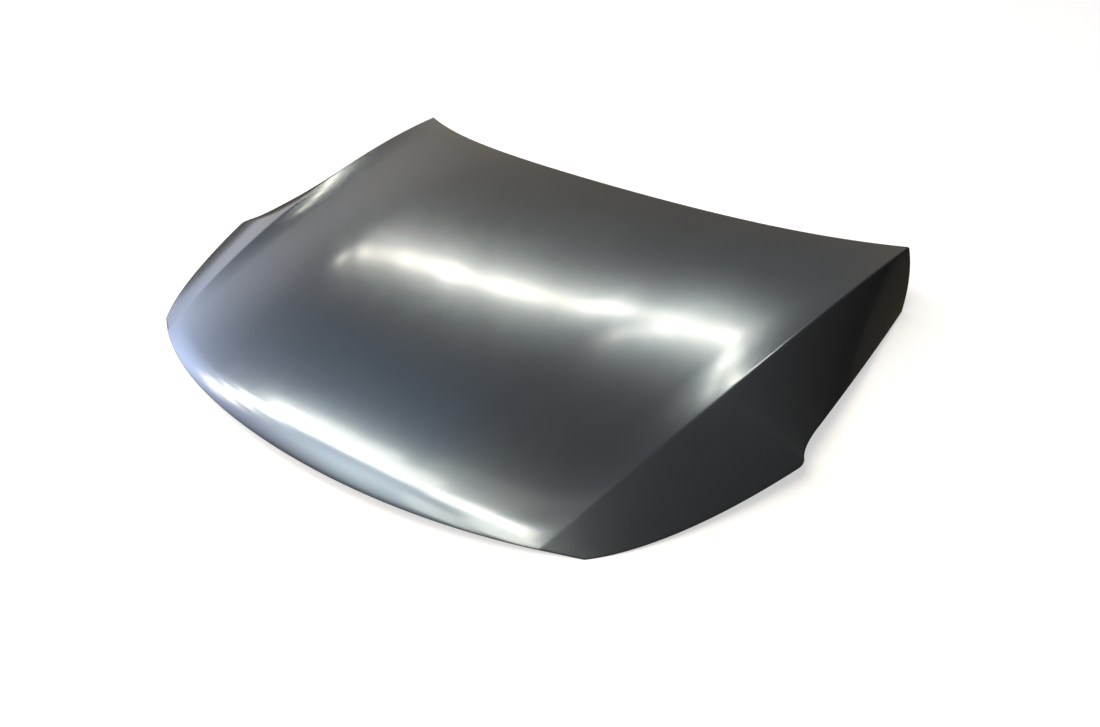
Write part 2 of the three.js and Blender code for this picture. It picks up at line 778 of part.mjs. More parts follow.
// Striker parts on the sloped pad behind the nose.
function makeStriker() {
  const group = padGroup(strikerPad);
  const plateTop = -frameThickness - fitGap;
  const plateBottom = plateTop - strikerPlateThickness;
  const plate = roundedPlate(strikerPlateWidth, strikerPlateLength, strikerPlateThickness, []);
  plate.translate(0, 0, plateBottom);
  group.add(meshOf("striker_plate", plate, primer(0x3a3d42, 0.45)));
  const reinforcement = roundedPlate(reinforcementWidth, reinforcementLength, reinforcementThickness, []);
  reinforcement.translate(0, 0, fitGap);
  group.add(meshOf("striker_reinforcement", reinforcement, primer(0x33363a, 0.5)));
  const wire = meshOf("striker_wire", makeStrikerWire(), primer(0x45484d, 0.35));
  wire.position.z = plateBottom - fitGap;
  group.add(wire);
  return group;
}
bonnet.add(makeStriker());

// A soft dab between a bonding land and the skin.
function makeDab() {
  const height = bondDepth - dabSeatGap - skinThickness - dabTopGap;
  const radius = dabDiameter / 2;
  const profile = [
    [0, 0],
    [0.8 * radius, 0],
    [radius, 0.3 * height],
    [0.85 * radius, 0.8 * height],
    [0.5 * radius, height],
    [0, height],
  ];
  return new THREE.LatheGeometry(profile.map(([x, y]) => new THREE.Vector2(x, y)), 10);
}

// Four dabs on the lengthwise lands of each opening.
function addDabs() {
  const shares = [0.28, 0.72];
  let count = 0;
  for (const opening of openings) {
    for (const share of shares) {
      for (const end of [0, 1]) {
        const b = lerp(opening.b[0], opening.b[1], share);
        const [, v] = framePlace(opening.a[end], b);
        const a = opening.a[end] + ((2 * end - 1) * landWidth) / 2 / frameHalfWidth(v);
        const normal = normalAt(...framePlace(a, b));
        count++;
        const name = "mastic_dab_" + String(count).padStart(2, "0");
        const dab = meshOf(name, makeDab(), primer(0x1d1d1f, 0.8));
        dab.position.copy(framePoint(a, b, bondDepth)).addScaledVector(normal, dabSeatGap);
        dab.quaternion.setFromUnitVectors(point(0, 1, 0), normal);
        bonnet.add(dab);
      }
    }
  }
}
addDabs();

// The origin is the middle of the footprint, on the surface that the bonnet lies on.
const box = new THREE.Box3().setFromObject(bonnet);
const middle = box.getCenter(new THREE.Vector3());
const part = new THREE.Group();
bonnet.position.set(-middle.x, -middle.y, -box.min.z);
part.add(bonnet);

export default part;
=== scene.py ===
# %% [markdown]
# A bare steel car bonnet, fresh from the primer bath.
# It is two pressed sheets: an outer skin that everybody sees, and a stamped inner frame underneath.
# The skin's edge is folded round the frame's flange, which is called a hem.
# The frame file gives the solids at their real size. This lesson lays smooth sheets over them, because a
# panel like this is judged by its reflections, and reflections show every facet.

# %% Load the solids
import json
import math

import bpy
import numpy as np
from mathutils import Matrix, Vector


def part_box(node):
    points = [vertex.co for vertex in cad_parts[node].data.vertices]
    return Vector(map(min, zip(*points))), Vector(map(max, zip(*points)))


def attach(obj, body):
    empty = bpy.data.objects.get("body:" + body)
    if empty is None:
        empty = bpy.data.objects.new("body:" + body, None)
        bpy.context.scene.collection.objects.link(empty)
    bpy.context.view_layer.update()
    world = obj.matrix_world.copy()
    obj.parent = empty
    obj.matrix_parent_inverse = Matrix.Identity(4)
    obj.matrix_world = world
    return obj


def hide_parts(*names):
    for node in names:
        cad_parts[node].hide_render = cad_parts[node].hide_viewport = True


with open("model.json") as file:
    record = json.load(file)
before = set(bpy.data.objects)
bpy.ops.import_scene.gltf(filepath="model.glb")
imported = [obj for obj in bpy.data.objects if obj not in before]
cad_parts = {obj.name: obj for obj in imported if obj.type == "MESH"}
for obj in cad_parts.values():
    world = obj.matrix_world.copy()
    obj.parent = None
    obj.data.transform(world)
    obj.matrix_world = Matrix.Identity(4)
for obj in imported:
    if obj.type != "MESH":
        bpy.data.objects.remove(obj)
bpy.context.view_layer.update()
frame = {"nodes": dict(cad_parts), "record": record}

# %% [markdown]
# The shape starts from a few curves that a body designer would draw on one half of the panel: the crease
# between top and flank, the centre line, and the edges at the headlight and the wing.
# A Bezier curve runs faster where its handles are long, so each one is walked by length instead.
# Even steps give even faces, and even faces give clean reflections.

# %% Curves walked at an even pace
MM = 0.001


class Curve:
    def __init__(self, *handles):
        self.handles = np.array(handles, float)
        self.t = np.linspace(0, 1, 401)
        steps = np.linalg.norm(np.diff(self.raw(self.t), axis=0), axis=1)
        self.length = steps.sum()
        self.pace = np.concatenate([[0], np.cumsum(steps)]) / self.length

    def raw(self, t):
        degree = len(self.handles) - 1
        t = np.asarray(t, float)[..., None]
        return sum(
            math.comb(degree, i) * (1 - t) ** (degree - i) * t**i * handle
            for i, handle in enumerate(self.handles)
        )

    def at(self, share):
        return self.raw(np.interp(share, self.pace, self.t))

    def direction(self, share):
        ahead = self.at(np.minimum(share + 1e-3, 1))
        return unit(ahead - self.at(np.maximum(share - 1e-3, 0)))


def unit(v):
    return v / np.maximum(np.linalg.norm(v, axis=-1, keepdims=True), 1e-12)


NOSE_ROLL = 10
SIDE_TIP = (749, -81, 32)
FENDER_FRONT = (732, 4, 35)
crease = Curve((497, -459, 9), (561, -253, 74), (638, 160, 142), (689, 562, 117))
centre_line = Curve((0, -562, 30 + NOSE_ROLL), (0, -440, 105), (0, 90, 150), (0, 416, 143))
headlight_edge = Curve((558, -428, 0), (658, -332, 4), SIDE_TIP)
notch_edge = Curve(SIDE_TIP, (731, -60, 34), FENDER_FRONT)
fender_edge = Curve(FENDER_FRONT, (732, 266, 21), (721, 501, 0))
print("crease %.0f mm, centre line %.0f mm" % (crease.length, centre_line.length))

# %% [markdown]
# The two panels are lofts. The top hangs between the centre line and the crease, bowed forwards and crowned.
# The flank hangs between the crease and the lower edge, flat at the front and slightly cambered behind.
# A shallow valley runs just inside the crease, which a presser adds so that the crease reads as a sharp line.
# One pair of numbers names each place: q is 0 on the centre line, 1 on the crease and 2 on the lower edge,
# and v is 0 at the front and 1 at the windscreen.

# %% Edges of the flank
ROLL_REACH = 0.045
FRONT_BOW, REAR_BOW = 0.14, 0.31
FRONT_FALL, REAR_FALL = 0.26, -0.12
VALLEY_DEPTH, VALLEY_START, VALLEY_PLACE = 9, 0.45, 0.87
FLANK_CAMBER, CAMBER_START = 5, 0.45
REAR_ROUND = 9
TIP_ALONG, FENDER_ALONG, TIP_ROUND = 0.38, 0.46, 0.014


def mix(a, b, share):
    return a + (b - a) * share


def smoothstep(x):
    x = np.clip(x, 0, 1)
    return x * x * (3 - 2 * x)


def spread(u, share):
    return (1 - share) * u**2 + share * u**4


def sharp_edge(v):
    v = np.asarray(v, float)
    head = headlight_edge.at(np.clip(v / TIP_ALONG, 0, 1))
    notch = notch_edge.at(np.clip((v - TIP_ALONG) / (FENDER_ALONG - TIP_ALONG), 0, 1))
    fender = fender_edge.at(np.clip((v - FENDER_ALONG) / (1 - FENDER_ALONG), 0, 1))
    v = v[..., None]
    return np.where(v < TIP_ALONG, head, np.where(v < FENDER_ALONG, notch, fender))


def lower_edge(v):
    v = np.asarray(v, float)
    t = np.clip((v - TIP_ALONG + TIP_ROUND) / (2 * TIP_ROUND), 0, 1)[..., None]
    start, end = sharp_edge(TIP_ALONG - TIP_ROUND), sharp_edge(TIP_ALONG + TIP_ROUND)
    rounded = (1 - t) ** 2 * start + 2 * t * (1 - t) * np.array(SIDE_TIP, float) + t**2 * end
    return np.where((t > 0) & (t < 1), rounded, sharp_edge(v))


print("wing tip at", lower_edge(TIP_ALONG).round(1))

# %% [markdown]
# With the edges known, any place on the skin can be worked out from its pair of numbers.
# The top mixes the centre line with the crease, then takes off the nose's roll and the valley.
# The flank mixes the crease with the lower edge, then swells a little outwards.

# %% Top and flank
def top_point(u, v):
    middle, side = centre_line.at(v), crease.at(v)
    fall = spread(u, mix(FRONT_FALL, REAR_FALL, v))
    roll = NOSE_ROLL * np.maximum(0, 1 - v / ROLL_REACH) ** 2
    inner = smoothstep((u - VALLEY_START) / (VALLEY_PLACE - VALLEY_START))
    outer = 1 - np.maximum(0, (u - VALLEY_PLACE) / (1 - VALLEY_PLACE)) ** 2
    valley = VALLEY_DEPTH * np.sin(math.pi * v) * inner * outer
    y = mix(middle[..., 1], side[..., 1], spread(u, mix(FRONT_BOW, REAR_BOW, v)))
    z = mix(middle[..., 2], side[..., 2], fall) - roll * (1 - fall) - valley
    return np.stack([u * side[..., 0], y, z], -1)


def flank_point(w, v):
    start, end = crease.at(v), lower_edge(v)
    out = -unit(np.cross(crease.direction(v), end - start))
    swell = (4 * w * (1 - w))[..., None]
    camber = FLANK_CAMBER * smoothstep(v / CAMBER_START)[..., None]
    point = start + (end - start) * w[..., None] + out * camber * swell
    point[..., 1] += REAR_ROUND * swell[..., 0] * v**8
    return point


def surface(q, v):
    q, v = np.broadcast_arrays(np.asarray(q, float), np.asarray(v, float))
    reach = np.abs(q)
    top = top_point(np.minimum(reach, 1), v)
    flank = flank_point(np.clip(reach - 1, 0, 1), v)
    point = np.where((reach <= 1)[..., None], top, flank)
    point[..., 0] *= np.where(q < 0, -1, 1)
    return point


print("crown at %.0f mm" % surface(0, np.linspace(0, 1, 101))[..., 2].max())

# %% [markdown]
# A pressed crease is never a knife edge. Its radius catches a thin bright line of light along the panel.
# Here the corner is replaced by a short curve whose handles lie on both panels, so it leaves each one
# without a kink. A bevel modifier could do this too, but it would need the crease as separate edges.

# %% Rounded crease and normals
EASE_TOP, EASE_FLANK = 0.006, 0.03


def eased(q, v):
    q, v = np.broadcast_arrays(np.asarray(q, float), np.asarray(v, float))
    reach = np.abs(q)
    side = np.where(q < 0, -1, 1)
    before = 0.5 * (reach - 1 + EASE_TOP) / EASE_TOP
    after = 0.5 + 0.5 * (reach - 1) / EASE_FLANK
    t = np.where(reach < 1, before, after)
    inside = (t > 0) & (t < 1)
    t = np.clip(t, 0, 1)[..., None]
    start, corner, end = (surface(side * k, v) for k in (1 - EASE_TOP, 1, 1 + EASE_FLANK))
    bent = (1 - t) ** 2 * start + 2 * t * (1 - t) * corner + t**2 * end
    return np.where(inside[..., None], bent, surface(q, v))


def slopes(q, v, step=2e-3):
    q, v = np.broadcast_arrays(np.asarray(q, float), np.asarray(v, float))
    right, left = np.minimum(q + step, 2), np.maximum(q - step, -2)
    back, front = np.minimum(v + step, 1), np.maximum(v - step, 0)
    across = (eased(right, v) - eased(left, v)) / (right - left)[..., None]
    along = (eased(q, back) - eased(q, front)) / (back - front)[..., None]
    return across, along


def normal_at(q, v):
    across, along = slopes(q, v)
    return unit(np.cross(across, along))


def inset(q, v, heading, distance):
    """The place on the surface at a distance inwards from a border that runs along heading."""
    at, inward = eased(q, v), unit(np.cross(normal_at(q, v), heading))
    for _ in range(8):
        gone = eased(q, v) - at
        short = distance - np.sum(gone * inward, -1)
        astray = -np.sum(gone * heading, -1)
        across, along = slopes(q, v)
        qa, va = np.sum(across * inward, -1), np.sum(along * inward, -1)
        qh, vh = np.sum(across * heading, -1), np.sum(along * heading, -1)
        det = qa * vh - va * qh
        q = np.clip(q + (short * vh - astray * va) / det, -2, 2)
        v = np.clip(v + (astray * qa - short * qh) / det, 0, 1)
    return eased(q, v)


print("normal in the middle:", normal_at(0, 0.5).round(3))

# %% [markdown]
# Both sheets are made as a single layer of faces and thickened afterwards with Solidify, as a real sheet is
# one layer that a press bends. So each is a table of points, plus loops that carry on from its border.
# The loops fold the hem. Shared helpers turn tables and loops into a mesh.

# %% Sheet helpers
def border_of(table):
    """Border of a table, anticlockwise from above, starting front right of the car."""
    return np.concatenate([table[0], table[1:, -1], table[-1, -2::-1], table[-2:0:-1, 0]])


def grid_faces(rows, columns):
    ids = np.arange(rows * columns).reshape(rows, columns)
    quads = np.stack([ids[:-1, :-1], ids[:-1, 1:], ids[1:, 1:], ids[1:, :-1]], -1).reshape(-1, 4)
    return ids, [tuple(map(int, quad)) for quad in quads]


def sheet_mesh(name, table, loops):
    """A table of points and the loops that continue from its border, as one open sheet."""
    rows, columns = table.shape[:2]
    ids, faces = grid_faces(rows, columns)
    points = [table.reshape(-1, 3)]
    previous, count = border_of(ids), rows * columns
    for loop in loops:
        current = np.arange(count, count + len(loop))
        count += len(loop)
        points.append(loop)
        pairs = zip(current, np.roll(current, -1), np.roll(previous, -1), previous)
        faces += [tuple(map(int, quad)) for quad in pairs]
        previous = current
    mesh = bpy.data.meshes.new(name)
    mesh.from_pydata((np.concatenate(points) * MM).tolist(), [], faces)
    mesh.validate()
    piece = bpy.data.objects.new(name, mesh)
    bpy.context.scene.collection.objects.link(piece)
    return piece


def apply_modifier(piece, kind, **settings):
    modifier = piece.modifiers.new(kind.title(), kind)
    for key, value in settings.items():
        setattr(modifier, key, value)
    bpy.context.view_layer.objects.active = piece
    bpy.ops.object.modifier_apply(modifier=modifier.name)


def smooth(piece, angle):
    piece.data.shade_smooth()
    piece.data.set_sharp_from_angle(angle=math.radians(angle))
    print(piece.name, "faces:", len(piece.data.polygons))


# %% [markdown]
# The skin's table is denser at the creases and at the wing tips, where the shape turns quickest.
# Its border points also know which way is inwards, so that the hem can be folded at right angles to the edge.

# %% Outer skin
SKIN_THICKNESS, FRAME_THICKNESS, FIT_GAP = 0.7, 0.6, 0.35
HEM_RETURN, HEM_CLEARANCE = 10, 2
HEM_THICKNESS = 2 * SKIN_THICKNESS + FRAME_THICKNESS + 2 * FIT_GAP
HEM_ZONE = HEM_RETURN + HEM_CLEARANCE


def steps_through(*stops):
    """Even steps between stops, given as (place, steps to the next place)."""
    parts = [np.linspace(a, b, n, endpoint=False) for (a, n), (b, _) in zip(stops, stops[1:])]
    return np.concatenate([*parts, [stops[-1][0]]])


half_columns = steps_through(
    (0, 34), (0.8, 26), (1 - EASE_TOP, 4), (1, 4), (1 + EASE_FLANK, 26), (2, 0)
)
skin_columns = np.concatenate([-half_columns[:0:-1], half_columns])
skin_rows = steps_through((0, 9), (0.05, 48), (0.36, 16), (0.40, 16), (0.48, 66), (0.96, 8), (1, 0))
print("skin table:", len(skin_columns), "by", len(skin_rows))


# %% [markdown]
# A fold follows the edge at a set distance. Near a sharp corner the inner line is shorter than the edge, so
# points that were simply pushed inwards would cross over each other. Each side of the border therefore
# squeezes its points towards its own middle near the corners, by as much as the mitre takes.

# %% Lines that follow the border
CORNER_REACH = 50


def side_places(columns, rows):
    """q and v along the front, left, rear and right side, each with both its corners."""
    back = rows[::-1]
    return [
        (columns, np.zeros(len(columns))),
        (np.full(len(rows), 2.0), rows),
        (columns[::-1], np.ones(len(columns))),
        (np.full(len(rows), -2.0), back),
    ]


def make_sides(columns, rows):
    sides = []
    for q, v in side_places(columns, rows):
        at = eased(q, v)
        steps = np.linalg.norm(np.diff(at, axis=0), axis=1)
        ends = unit(at[1] - at[0]), unit(at[-1] - at[-2])
        sides.append({"q": q, "v": v, "along": np.concatenate([[0], np.cumsum(steps)]), "ends": ends})
    for i, side in enumerate(sides):
        turn = math.acos(np.dot(sides[i - 1]["ends"][1], side["ends"][0]))
        side["mitre"] = sides[i - 1]["mitre_after"] = math.tan(turn / 2)
    return sides


def squeezed(side, distance):
    """Places along a side, moved away from its corners as the mitre at that distance asks."""
    along, length = side["along"], side["along"][-1]
    from_start, from_end = along, length - along
    moved = along + distance * side["mitre"] * np.clip(1 - from_start / CORNER_REACH, 0, 1)
    return moved - distance * side["mitre_after"] * np.clip(1 - from_end / CORNER_REACH, 0, 1)


def side_line(side, distance, depth):
    moved = squeezed(side, distance)
    q, v = (np.interp(moved, side["along"], side[key]) for key in "qv")
    step = 1e-3
    heading_q, heading_v = (step * np.sign(side[key][-1] - side[key][0]) for key in "qv")
    before = eased(np.clip(q - heading_q, -2, 2), np.clip(v - heading_v, 0, 1))
    after = eased(np.clip(q + heading_q, -2, 2), np.clip(v + heading_v, 0, 1))
    heading, normal = unit(after - before), normal_at(q, v)
    inward = unit(np.cross(normal, heading))
    if distance > 0:
        base = inset(q, v, heading, distance)
    else:
        beyond = moved - np.clip(moved, 0, side["along"][-1])
        base = eased(q, v) + inward * distance + heading * beyond[:, None]
    return base - normal * depth


def border_line(sides, distance, depth):
    """A closed line round the border, moved inwards and down through the sheet."""
    return np.concatenate([side_line(side, distance, depth)[:-1] for side in sides])


skin_sides = make_sides(skin_columns, skin_rows)
print("sides in mm:", [round(side["along"][-1]) for side in skin_sides])

# %% [markdown]
# The hem is a half circle of loops round the edge, followed by loops that run back under the frame's flange.
# A real hem is folded flat in two strokes of a press. Here a round fold is enough, at the same thickness.

# %% Fold the outer skin
def make_outer_skin():
    q, v = np.meshgrid(skin_columns, skin_rows)
    radius = HEM_THICKNESS / 2
    turns = np.radians(np.arange(22.5, 180, 22.5))
    fold = [border_line(skin_sides, -radius * math.sin(a), radius * (1 - math.cos(a))) for a in turns]
    back = [border_line(skin_sides, d, HEM_THICKNESS) for d in (0, 2.5, 5, 7.5, HEM_RETURN)]
    piece = sheet_mesh("outer_skin_sheet", eased(q, v), fold + back)
    apply_modifier(piece, "SOLIDIFY", thickness=SKIN_THICKNESS * MM, offset=-1, use_even_offset=True)
    smooth(piece, 40)
    return piece


outer_skin = make_outer_skin()

# %% [markdown]
# The sheets are drawn about the middle of the bonnet, with the front corners near the floor.
# One shift, the same for every piece and for the camera, sets them down exactly where the solids are.
# The crown gives the height, as it has the same form in both.

# %% Seat on the solids
low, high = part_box("outer_skin")
points = np.array([vertex.co for vertex in outer_skin.data.vertices])
middle_gap = (low.y + high.y) / 2 - (points[:, 1].min() + points[:, 1].max()) / 2
SHIFT = Vector((0, middle_gap, high.z - points[:, 2].max()))


def seat(piece):
    piece.data.transform(Matrix.Translation(SHIFT))
    piece.data.update()


seat(outer_skin)
print("shift in mm:", [round(x / MM, 2) for x in SHIFT])

# %% [markdown]
# The inner frame stays a hand's width inside the edge all round, then dives to the hem as a flange.
# How far it reaches is found by halving: half way in, half way out, until the distance to the edge is right.
# Its own pair of numbers is a, from -1 to 1 across, and b, from 0 to 1 backwards.

# %% Reach of the inner frame
FRAME_MARGIN, BOX_DEPTH, BOND_DEPTH, LEAST_DEPTH, FLOOR_GAP = 30, 24, 4.5, 4.2, 5


def distance_to(line, at):
    start, reach = line[:-1], np.diff(line, axis=0)
    share = np.sum((at[:, None] - start) * reach, -1) / np.sum(reach**2, -1)
    foot = start + np.clip(share, 0, 1)[..., None] * reach
    return np.linalg.norm(at[:, None] - foot, axis=-1).min(1)


def place_of_margin(line, near, far, at):
    for _ in range(22):
        middle = (near + far) / 2
        clear = distance_to(line, at(middle)) > FRAME_MARGIN
        near, far = np.where(clear, middle, near), np.where(clear, far, middle)
    return near


side_line_3d = surface(2, np.linspace(0, 1, 91))
front_line_3d = surface(np.linspace(-2, 2, 61), 0)
rear_line_3d = surface(np.linspace(-2, 2, 61), 1)
limit_rows = np.linspace(0, 1, 61)
limits = place_of_margin(
    side_line_3d, np.full(61, 0.8), np.full(61, 2.0), lambda q: surface(q, limit_rows)
)


def side_limit(v):
    return np.interp(v, limit_rows, limits)


limit_columns = np.linspace(0, 1, 41)
first_rows, last_rows = (
    place_of_margin(
        line, np.full(41, near), np.full(41, far), lambda v: surface(side_limit(v) * limit_columns, v)
    )
    for line, near, far in ((front_line_3d, 0.3, 0.0), (rear_line_3d, 0.7, 1.0))
)
frame_length = (last_rows[0] - first_rows[0]) * centre_line.length
print("frame length %.0f mm" % frame_length)


def frame_place(a, b):
    first = np.interp(np.abs(a), limit_columns, first_rows)
    last = np.interp(np.abs(a), limit_columns, last_rows)
    v = mix(first, last, b)
    return side_limit(v) * a, v


def frame_half_width(v):
    return side_limit(v) * crease.at(v)[..., 0]


# %% [markdown]
# Under the sharp crease the frame takes an easy bend, because a deep stamping would tear at a sharp one.
# Its height is averaged over a band on both sides of the crease.

# %% A place on the frame
EASY_START, EASY_REACH = 0.88, 0.16
STEADY_TOP, STEADY_FLANK = 0.84, 1.6
TURN_START, TURN_END = 0.8, 1.7


def easy_surface(q, v):
    reach = np.abs(q)
    ahead = np.minimum(reach + EASY_REACH * smoothstep((reach - EASY_START) / (1 - EASY_START)), 2)
    point = (surface(ahead, v) + surface(2 * reach - ahead, v) + 2 * surface(reach, v)) / 4
    point[..., 0] *= np.where(q < 0, -1, 1)
    return point


def easy_normal(q, v):
    reach = np.abs(q)
    turn = smoothstep((reach - TURN_START) / (TURN_END - TURN_START))[..., None]
    top = normal_at(np.minimum(reach, STEADY_TOP), v)
    flank = normal_at(np.maximum(reach, STEADY_FLANK), v)
    normal = unit(mix(top, flank, turn))
    normal[..., 0] *= np.where(q < 0, -1, 1)
    return normal


def frame_point(a, b, depth):
    a, b, depth = np.broadcast_arrays(np.asarray(a, float), np.asarray(b, float), depth)
    q, v = frame_place(a, b)
    base, normal = easy_surface(q, v), easy_normal(q, v)
    room = (base[..., 2] - FLOOR_GAP) / np.maximum(normal[..., 2], 0.3)
    held = np.maximum(np.minimum(depth, room), LEAST_DEPTH)
    return base - normal * held[..., None]


print("underside in the middle:", frame_point(0, 0.5, BOX_DEPTH).round(1))

# %% [markdown]
# Six openings save weight. Round each one the frame rises to a land that is glued to the skin with mastic.
# The rise is a smooth ramp, since a press can't make a step.
# A signed distance, negative inside a rounded rectangle, gives land, ramp and outline from one formula.

# %% Openings and pads
LAND_WIDTH, RAMP_WIDTH, OPENING_RADIUS = 14, 14, 42
RIB_INNER, RIB_OUTER, FRONT_OUTER, REAR_OUTER = 0.135, 0.23, 0.48, 0.4
FRONT_ROW, REAR_ROW = (0.12, 0.46), (0.55, 0.84)
PAD_COLUMNS = (0.48, 0.545)
PAD_ROWS = (0.02, 0.08)
openings = [((-RIB_INNER, RIB_INNER), FRONT_ROW), ((-RIB_INNER, RIB_INNER), REAR_ROW)]
openings += [((RIB_OUTER, FRONT_OUTER), FRONT_ROW), ((-FRONT_OUTER, -RIB_OUTER), FRONT_ROW)]
openings += [((RIB_OUTER, REAR_OUTER), REAR_ROW), ((-REAR_OUTER, -RIB_OUTER), REAR_ROW)]


def middle_of(pair):
    return (pair[0] + pair[1]) / 2


def patch_distance(a, b, patch, radius):
    """Distance in mm to a rounded rectangle of the frame, negative inside it."""
    unit_a = frame_half_width(frame_place(middle_of(patch[0]), middle_of(patch[1]))[1])
    x = np.abs(a - middle_of(patch[0])) * unit_a - (patch[0][1] - patch[0][0]) / 2 * unit_a + radius
    y = np.abs(b - middle_of(patch[1])) * frame_length
    y += radius - (patch[1][1] - patch[1][0]) / 2 * frame_length
    outside = np.hypot(np.maximum(x, 0), np.maximum(y, 0))
    return outside + np.minimum(np.maximum(x, y), 0) - radius


def depth_at(a, b):
    nearest = np.min([patch_distance(a, b, patch, OPENING_RADIUS) for patch in openings], axis=0)
    return mix(BOND_DEPTH, BOX_DEPTH, smoothstep((nearest - LAND_WIDTH) / RAMP_WIDTH))


def make_pad(columns, rows, sloped):
    middle = frame_point(middle_of(columns), middle_of(rows), BOX_DEPTH)
    front, back = (frame_point(middle_of(columns), b, BOX_DEPTH) for b in rows)
    tilt = math.atan2(back[2] - front[2], back[1] - front[1]) if sloped else 0
    return {"patch": (columns, rows), "middle": middle, "tilt": tilt}


hinge_rows = (REAR_ROW[1] + (LAND_WIDTH + RAMP_WIDTH) / frame_length, 0.955)
hinge_pads = [make_pad(PAD_COLUMNS, hinge_rows, False), make_pad((-0.545, -0.48), hinge_rows, False)]
buffer_pads = [make_pad(PAD_COLUMNS, PAD_ROWS, False), make_pad((-0.545, -0.48), PAD_ROWS, False)]
striker_pad = make_pad((-0.07, 0.07), PAD_ROWS, True)
print("openings:", len(openings), "pads:", len(hinge_pads) + len(buffer_pads) + 1)


def press_pads(table, a, b):
    """Flattens the table under each pad, with a short blend round it."""
    for pad in (*hinge_pads, *buffer_pads, striker_pad):
        share = 1 - smoothstep(patch_distance(a, b, pad["patch"], 0.1) / 9)
        flat = pad["middle"][2] + math.tan(pad["tilt"]) * (table[..., 1] - pad["middle"][1])
        table[..., 2] = mix(table[..., 2], flat, share)


# %% [markdown]
# From the raised part a wall runs down to the flange between the folds of the hem.
# Each wall point looks for the nearest place on the flange line. The places are then put in order, so that
# the wall never folds back over itself at a corner.

# %% Wall and flange
EDGE_CLEARANCE = 0.5
FLANGE_DEPTH = SKIN_THICKNESS + FIT_GAP


def feet_on(line, points):
    """For each point, how far along a closed line its nearest place lies, in order."""
    distance = np.linalg.norm(points[:, None] - line[None], axis=-1)
    nearest = distance.argmin(1).astype(float)
    expected = np.arange(len(points)) / len(points) * len(line)
    nearest += len(line) * np.round((expected - nearest) / len(line))
    kernel = np.ones(9) / 9
    padded = np.concatenate([nearest[-4:] - len(line), nearest, nearest[:4] + len(line)])
    return np.maximum.accumulate(np.convolve(padded, kernel, "valid"))


def along_closed(line, where):
    where = np.mod(where, len(line))
    closed = np.concatenate([line, line[:1]])
    return np.stack([np.interp(where, np.arange(len(closed)), closed[:, i]) for i in range(3)], -1)


def wall_loops(rim, normal):
    inner = border_line(skin_sides, HEM_ZONE, FLANGE_DEPTH)
    outer = border_line(skin_sides, EDGE_CLEARANCE, FLANGE_DEPTH)
    feet = feet_on(inner, rim)
    foot, edge = along_closed(inner, feet), along_closed(outer, feet)
    drop = np.sum((foot - rim) * normal, -1, keepdims=True) * normal
    loops = [rim + (foot - rim - drop) * s + drop * smoothstep(s) for s in (0.17, 0.33, 0.5, 0.67, 0.83)]
    return [*loops, foot, mix(foot, edge, 0.5), edge]


print("flange lies %.1f to %.1f mm inside the edge" % (EDGE_CLEARANCE, HEM_ZONE))

# %% [markdown]
# The openings and holes are cut last, as a trimming die does after the stamping.
# Each cutter is a straight prism, and one boolean takes them all out together.

# %% Trimming die
BOLT_SPACING, BOLT_HOLE, DRAIN_HOLE, PROP_LENGTH, PROP_WIDTH = 46, 9, 12, 26, 13
DIE_LOW, DIE_TOP = -60, 260


def prisms(name, outlines):
    """One mesh of upright prisms through the whole height, from outlines in plan."""
    points, faces = [], []
    for outline in outlines:
        n, base = len(outline), len(points)
        points += [(x, y, z) for z in (DIE_LOW, DIE_TOP) for x, y in outline]
        low, top = list(range(base, base + n)), list(range(base + n, base + 2 * n))
        faces += [low[::-1], top]
        faces += [(low[i], low[(i + 1) % n], top[(i + 1) % n], top[i]) for i in range(n)]
    mesh = bpy.data.meshes.new(name)
    mesh.from_pydata((np.array(points) * MM).tolist(), [], faces)
    cutter = bpy.data.objects.new(name, mesh)
    bpy.context.scene.collection.objects.link(cutter)
    return cutter


def patch_outline(patch, radius, depth):
    """Outline in plan of a rounded rectangle of the frame, with a few points along each straight side."""
    unit_a = frame_half_width(frame_place(middle_of(patch[0]), middle_of(patch[1]))[1])
    (x0, x1), (y0, y1) = np.array(patch[0]) * unit_a, np.array(patch[1]) * frame_length
    corners = [(x1 - radius, y0 + radius, -90), (x1 - radius, y1 - radius, 0)]
    corners += [(x0 + radius, y1 - radius, 90), (x0 + radius, y0 + radius, 180)]
    arcs = []
    for x, y, start in corners:
        turn = np.radians(np.linspace(0, 90, 17)) + math.radians(start)
        arcs.append(np.stack([x + radius * np.cos(turn), y + radius * np.sin(turn)], -1))
    path = []
    for before, arc in zip([arcs[-1], *arcs], arcs):
        path += [mix(before[-1], arc[0], share) for share in (0.2, 0.4, 0.6, 0.8)]
        path += list(arc)
    x, y = np.array(path).T
    return frame_point(x / unit_a, y / frame_length, depth)[:, :2]


def ellipse(at, width, height):
    turn = np.radians(np.arange(0, 360, 9))
    return np.stack([at[0] + width / 2 * np.cos(turn), at[1] + height / 2 * np.sin(turn)], -1)


def make_cutters():
    outlines = [patch_outline(patch, OPENING_RADIUS, BOND_DEPTH) for patch in openings]
    for pad in hinge_pads:
        a, b = map(middle_of, pad["patch"])
        for way in (-1, 1):
            at = frame_point(a, b + way * BOLT_SPACING / 2 / frame_length, BOX_DEPTH)
            outlines.append(ellipse(at, BOLT_HOLE, BOLT_HOLE))
    for a in (-RIB_OUTER, RIB_OUTER):
        at = surface(*frame_place(a, (REAR_ROW[1] + 1) / 2 + 0.02))
        outlines.append(ellipse(at, DRAIN_HOLE, DRAIN_HOLE))
    outlines.append(ellipse(surface(*frame_place(-0.3, middle_of(PAD_ROWS))), PROP_LENGTH, PROP_WIDTH))
    return prisms("trimming_die", outlines)


print("bolt holes %d mm, drain holes %d mm" % (BOLT_HOLE, DRAIN_HOLE))

